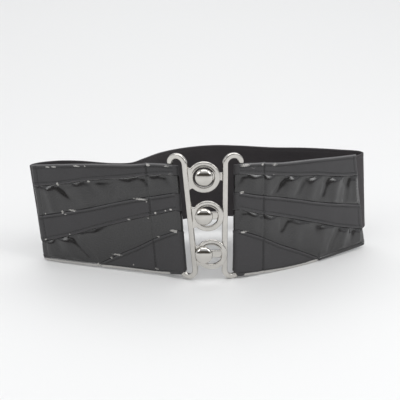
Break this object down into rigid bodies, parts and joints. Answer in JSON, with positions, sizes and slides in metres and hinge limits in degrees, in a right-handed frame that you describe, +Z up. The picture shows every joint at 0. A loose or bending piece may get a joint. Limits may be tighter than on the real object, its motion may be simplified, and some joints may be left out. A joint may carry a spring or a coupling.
{
  "type": "elastic waist belt",
  "caption": "Wide elastic waist belt with fanned matte and patent leather front panels and a hooked metal clasp, shown fastened.",
  "frame": {"origin": "on the standing surface, under the middle of the belt's box", "axes": "+X along the front from the wearer's right hand side to the left hand side as drawn, +Y from the clasp towards the back, +Z up"},
  "size_m": [0.3268, 0.1304, 0.125],
  "materials": {
    "matte_leather": "matte black imitation leather",
    "patent_leather": "glossy black patent imitation leather",
    "elastic": "black woven elastic",
    "clasp_metal": "polished warm silver plating"
  },
  "bodies": {
    "root": {"left_top_strip": "matte_leather", "left_upper_patent": "patent_leather", "left_middle_strip": "matte_leather", "left_lower_patent": "patent_leather", "left_bottom_strip": "matte_leather", "right_top_strip": "matte_leather", "right_upper_patent": "patent_leather", "right_middle_strip": "matte_leather", "right_lower_patent": "patent_leather", "right_bottom_strip": "matte_leather", "elastic_band": "elastic", "stud_plate": "clasp_metal", "eye_plate": "clasp_metal"}
  },
  "joints": []
}
